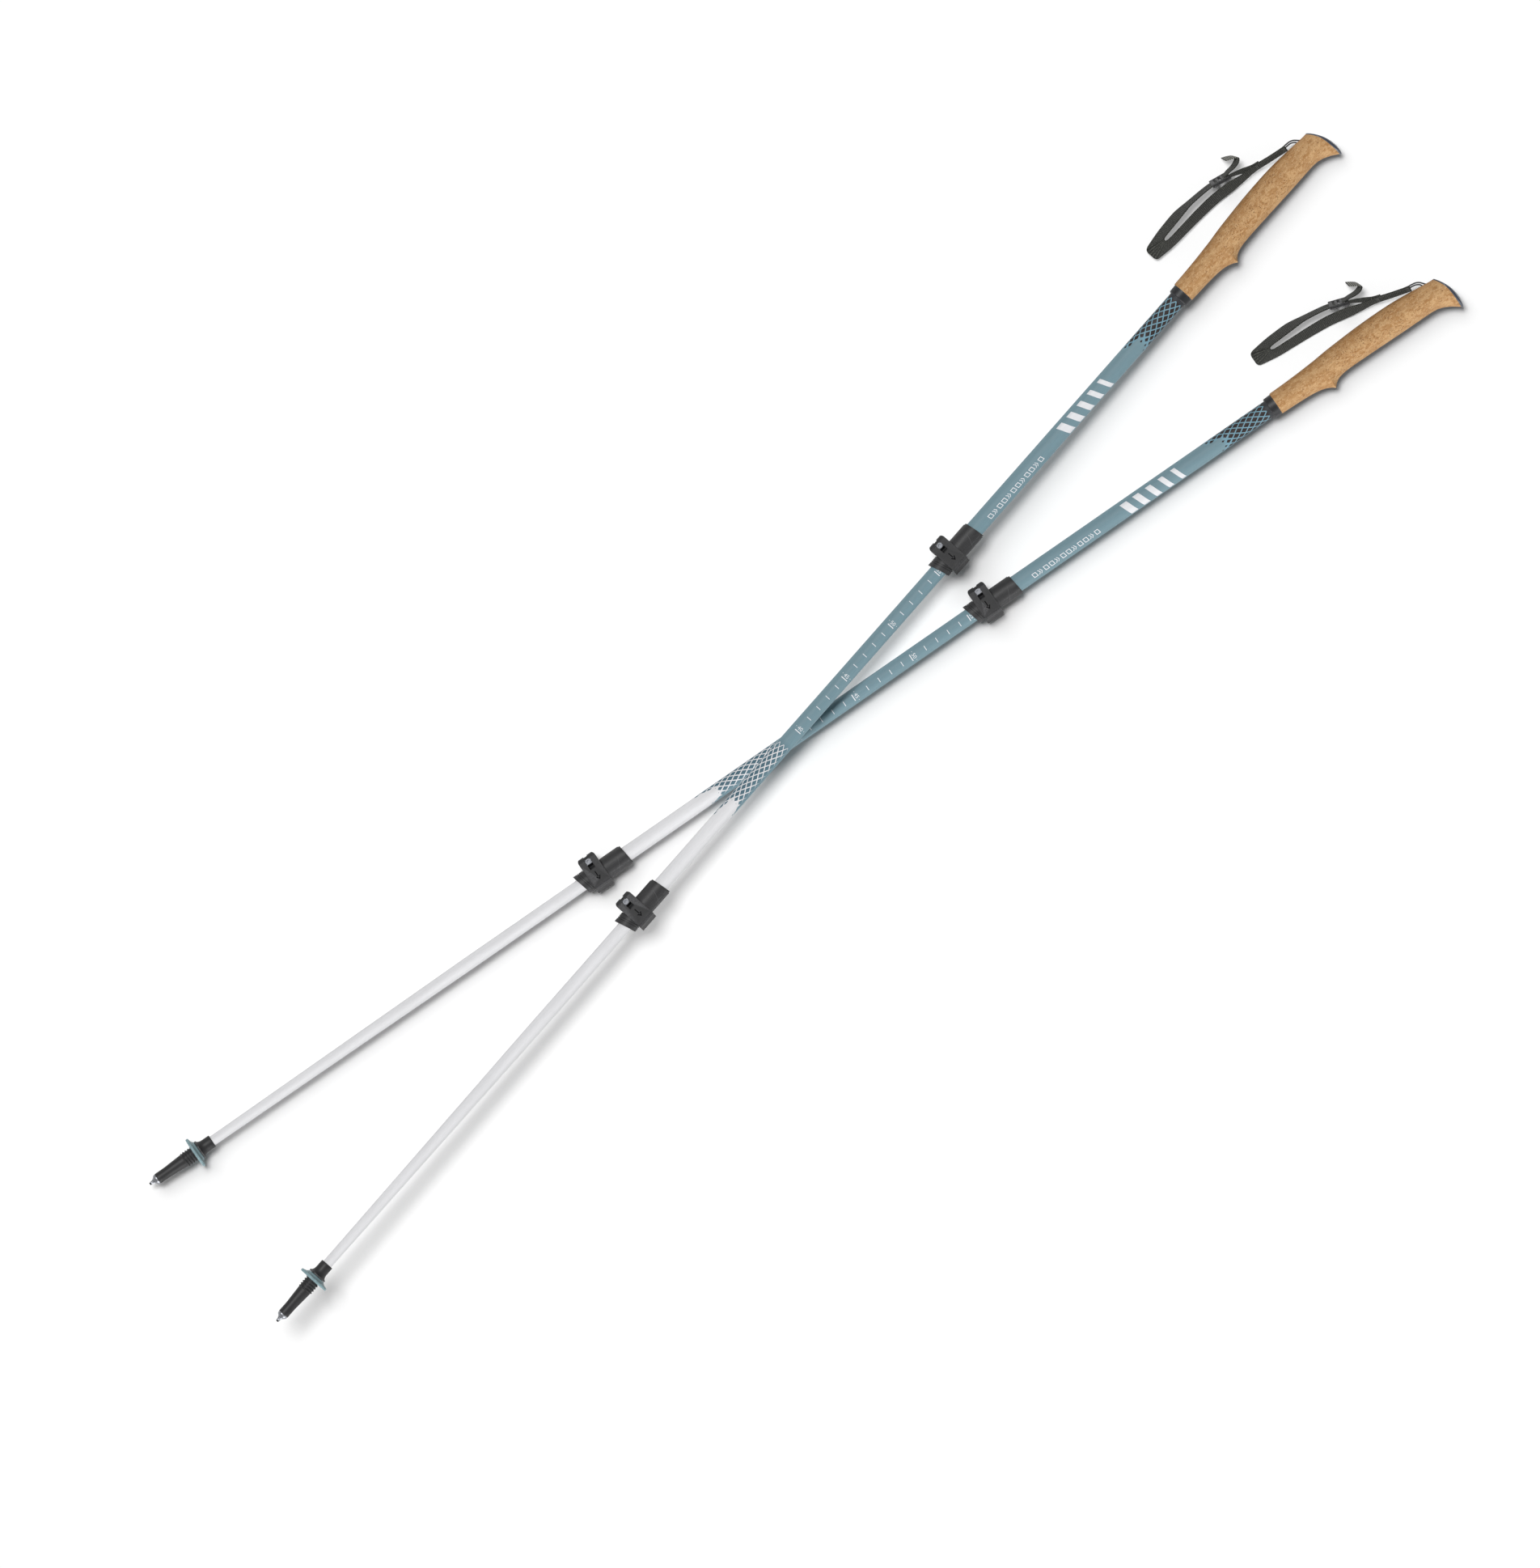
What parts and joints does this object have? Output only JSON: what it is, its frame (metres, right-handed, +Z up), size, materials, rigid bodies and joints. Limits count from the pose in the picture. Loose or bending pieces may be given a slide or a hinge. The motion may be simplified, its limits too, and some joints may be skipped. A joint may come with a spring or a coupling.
{
  "type": "trekking poles",
  "caption": "Pair of telescopic trekking poles with cork grips, wrist straps, lever locks, baskets and hard tips, lying crossed.",
  "frame": {"origin": "on the ground, in the middle of the pair's footprint", "axes": "+X from the points towards the grips, along the line that halves the angle between the poles; +Y towards the wrist straps; +Z up, the side that the lock levers face"},
  "size_m": [1.3975, 0.2394, 0.0713],
  "materials": {
    "cork": "matt ground cork",
    "core_plastic": "moulded",
    "cap_plastic": "satin, moulded",
    "black_plastic": "fine moulded texture",
    "lever_plastic": "fine moulded texture",
    "steel": "turned",
    "carbide": "ground",
    "blue_carbon": "satin lacquer over carbon fibre",
    "white_carbon": "satin lacquer over carbon fibre",
    "basket_plastic": "moulded",
    "webbing": "woven webbing",
    "cord": "braided cord"
  },
  "bodies": {
    "right_handle": {"right_cork_grip": "cork", "right_grip_core": "core_plastic", "right_grip_cap": "cap_plastic", "right_grip_collar": "black_plastic", "right_strap_pin": "steel", "right_upper_tube": "blue_carbon", "right_upper_lock_body": "black_plastic", "right_upper_lock_barrel": "steel", "right_upper_lock_nut": "steel"},
    "right_upper_lever": {"right_upper_lock_lever": "lever_plastic"},
    "right_upper_screw": {"right_upper_lock_screw": "steel"},
    "right_middle_section": {"right_middle_tube": "blue_carbon", "right_middle_guide": "core_plastic", "right_lower_lock_body": "black_plastic", "right_lower_lock_barrel": "steel", "right_lower_lock_nut": "steel"},
    "right_lower_lever": {"right_lower_lock_lever": "lever_plastic"},
    "right_lower_screw": {"right_lower_lock_screw": "steel"},
    "right_lower_section": {"right_lower_tube": "white_carbon", "right_lower_guide": "core_plastic", "right_tip_ferrule": "black_plastic", "right_steel_tip": "steel", "right_carbide_point": "carbide"},
    "right_basket_turner": {"right_basket": "basket_plastic"},
    "right_strap": {"right_strap_cord": "cord", "right_strap_band": "webbing", "right_strap_adjuster": "webbing", "right_strap_buckle": "black_plastic"},
    "left_handle": {"left_cork_grip": "cork", "left_grip_core": "core_plastic", "left_grip_cap": "cap_plastic", "left_grip_collar": "black_plastic", "left_strap_pin": "steel", "left_upper_tube": "blue_carbon", "left_upper_lock_body": "black_plastic", "left_upper_lock_barrel": "steel", "left_upper_lock_nut": "steel"},
    "left_upper_lever": {"left_upper_lock_lever": "lever_plastic"},
    "left_upper_screw": {"left_upper_lock_screw": "steel"},
    "left_middle_section": {"left_middle_tube": "blue_carbon", "left_middle_guide": "core_plastic", "left_lower_lock_body": "black_plastic", "left_lower_lock_barrel": "steel", "left_lower_lock_nut": "steel"},
    "left_lower_lever": {"left_lower_lock_lever": "lever_plastic"},
    "left_lower_screw": {"left_lower_lock_screw": "steel"},
    "left_lower_section": {"left_lower_tube": "white_carbon", "left_lower_guide": "core_plastic", "left_tip_ferrule": "black_plastic", "left_steel_tip": "steel", "left_carbide_point": "carbide"},
    "left_basket_turner": {"left_basket": "basket_plastic"},
    "left_strap": {"left_strap_cord": "cord", "left_strap_band": "webbing", "left_strap_adjuster": "webbing", "left_strap_buckle": "black_plastic"}
  },
  "joints": [
    {"name": "left_pole_lift", "type": "slide", "parent": "right_handle", "child": "left_handle", "axis": [0, 0, 1], "range_m": [0, 0.12]},
    {"name": "left_middle_slide", "type": "slide", "parent": "left_handle", "child": "left_middle_section", "axis": [0.9921, 0.1209, -0.0326], "range_m": [0, 0.362]},
    {"name": "left_lower_slide", "type": "slide", "parent": "left_middle_section", "child": "left_lower_section", "axis": [0.9921, 0.1209, -0.0326], "range_m": [0, 0.39]},
    {"name": "left_upper_lever_flip", "type": "hinge", "parent": "left_handle", "child": "left_upper_lever", "pos_m": [0.1999, 0.03072, 0.03559], "axis": [-0.9921, -0.1209, 0.0326], "range_deg": [0, 100]},
    {"name": "left_lower_lever_flip", "type": "hinge", "parent": "left_middle_section", "child": "left_lower_lever", "pos_m": [-0.21679, -0.02008, 0.0493], "axis": [-0.9921, -0.1209, 0.0326], "range_deg": [0, 100]},
    {"name": "left_upper_screw_turn", "type": "hinge", "parent": "left_handle", "child": "left_upper_screw", "pos_m": [0.19969, 0.03069, 0.0291], "axis": [0.0324, 0.0039, 0.9995], "continuous": true},
    {"name": "left_lower_screw_turn", "type": "hinge", "parent": "left_middle_section", "child": "left_lower_screw", "pos_m": [-0.217, -0.0201, 0.0428], "axis": [0.0324, 0.0039, 0.9995], "continuous": true},
    {"name": "left_basket_turn", "type": "hinge", "parent": "left_lower_section", "child": "left_basket_turner", "pos_m": [-0.64413, -0.08607, 0.05691], "axis": [0.9921, 0.1209, -0.0326], "continuous": true},
    {"name": "left_strap_swing", "type": "hinge", "parent": "left_handle", "child": "left_strap", "pos_m": [0.67784, 0.08364, 0.01339], "axis": [-0.0324, -0.0039, -0.9995], "range_deg": [0, 55]},
    {"name": "right_middle_slide", "type": "slide", "parent": "right_handle", "child": "right_middle_section", "axis": [0.9927, -0.121, 0], "range_m": [0, 0.362]},
    {"name": "right_lower_slide", "type": "slide", "parent": "right_middle_section", "child": "right_lower_section", "axis": [0.9927, -0.121, 0], "range_m": [0, 0.39]},
    {"name": "right_upper_lever_flip", "type": "hinge", "parent": "right_handle", "child": "right_upper_lever", "pos_m": [0.19868, -0.02216, 0.021], "axis": [-0.9927, 0.121, 0], "range_deg": [0, 100]},
    {"name": "right_lower_lever_flip", "type": "hinge", "parent": "right_middle_section", "child": "right_lower_lever", "pos_m": [-0.21823, 0.02866, 0.021], "axis": [-0.9927, 0.121, 0], "range_deg": [0, 100]},
    {"name": "right_upper_screw_turn", "type": "hinge", "parent": "right_handle", "child": "right_upper_screw", "pos_m": [0.19868, -0.02216, 0.0145], "axis": [0, 0, 1], "continuous": true},
    {"name": "right_lower_screw_turn", "type": "hinge", "parent": "right_middle_section", "child": "right_lower_screw", "pos_m": [-0.21823, 0.02866, 0.0145], "axis": [0, 0, 1], "continuous": true},
    {"name": "right_basket_turn", "type": "hinge", "parent": "right_lower_section", "child": "right_basket_turner", "pos_m": [-0.64893, 0.06726, 0.0145], "axis": [0.9927, -0.121, 0], "continuous": true},
    {"name": "right_strap_swing", "type": "hinge", "parent": "right_handle", "child": "right_strap", "pos_m": [0.6758, -0.08566, 0.0145], "axis": [0, 0, -1], "range_deg": [0, 30]}
  ]
}
